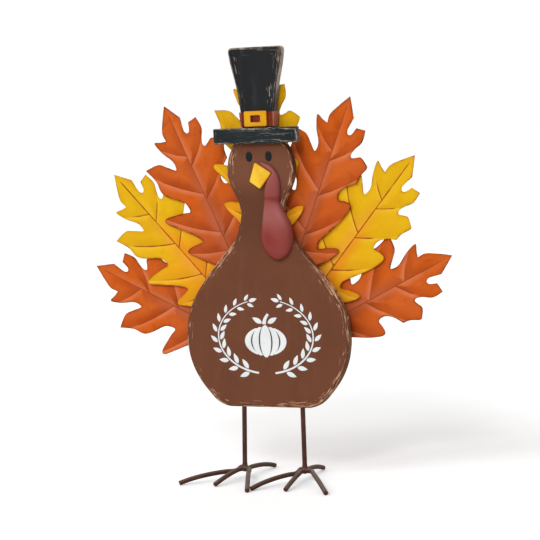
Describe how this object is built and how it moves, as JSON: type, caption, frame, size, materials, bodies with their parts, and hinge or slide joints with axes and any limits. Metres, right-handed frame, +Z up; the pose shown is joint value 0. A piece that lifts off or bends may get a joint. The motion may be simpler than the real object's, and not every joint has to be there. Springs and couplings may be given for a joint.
{
  "type": "thanksgiving turkey figure",
  "caption": "Standing turkey figure: a flat painted wood body with a hat and a face, pressed metal leaves behind it as the tail, and bent rod legs with splayed toes.",
  "frame": {"origin": "middle of the figure's bounding box at the ground, where the toe tips rest", "axes": "+Z up; the face looks along -Y; +X is to the right as seen from the front"},
  "size_m": [0.4986, 0.1636, 0.5463],
  "materials": {
    "brown_paint": "brown paint, satin, rubbed through at the edges",
    "black_paint": "black paint with blue and brown undertones, rubbed through at the edges",
    "band_paint": "red-brown paint, matt",
    "buckle_paint": "yellow paint, satin",
    "eye_paint": "dark paint, satin",
    "beak_paint": "yellow paint, satin",
    "wattle_paint": "muted red paint, satin",
    "orange_paint": "orange paint with dark veins and edges",
    "yellow_paint": "yellow paint with orange veins and olive edges",
    "rod_paint": "brown paint over steel rod",
    "screw_steel": "plain steel",
    "dowel_wood": "bare wood"
  },
  "bodies": {
    "root": {"body_board": "brown_paint", "hat_crown": "black_paint", "hat_band": "band_paint", "hat_buckle": "buckle_paint", "hat_brim": "black_paint", "left_eye": "eye_paint", "right_eye": "eye_paint", "beak": "beak_paint", "wattle": "wattle_paint", "centre_leaf": "yellow_paint", "upper_left_leaf": "orange_paint", "upper_right_leaf": "orange_paint", "mid_left_leaf": "yellow_paint", "mid_right_leaf": "yellow_paint", "lower_left_leaf": "orange_paint", "lower_right_leaf": "orange_paint", "left_leg": "rod_paint", "left_side_toes": "rod_paint", "left_front_toes": "rod_paint", "right_leg": "rod_paint", "right_side_toes": "rod_paint", "right_front_toes": "rod_paint", "centre_leaf_upper_screw": "screw_steel", "centre_leaf_lower_screw": "screw_steel", "upper_left_leaf_upper_screw": "screw_steel", "upper_left_leaf_lower_screw": "screw_steel", "upper_right_leaf_upper_screw": "screw_steel", "upper_right_leaf_lower_screw": "screw_steel", "mid_left_leaf_upper_screw": "screw_steel", "mid_left_leaf_lower_screw": "screw_steel", "mid_right_leaf_upper_screw": "screw_steel", "mid_right_leaf_lower_screw": "screw_steel", "lower_left_leaf_upper_screw": "screw_steel", "lower_left_leaf_lower_screw": "screw_steel", "lower_right_leaf_upper_screw": "screw_steel", "lower_right_leaf_lower_screw": "screw_steel", "left_crown_dowel": "dowel_wood", "right_crown_dowel": "dowel_wood"}
  },
  "joints": []
}
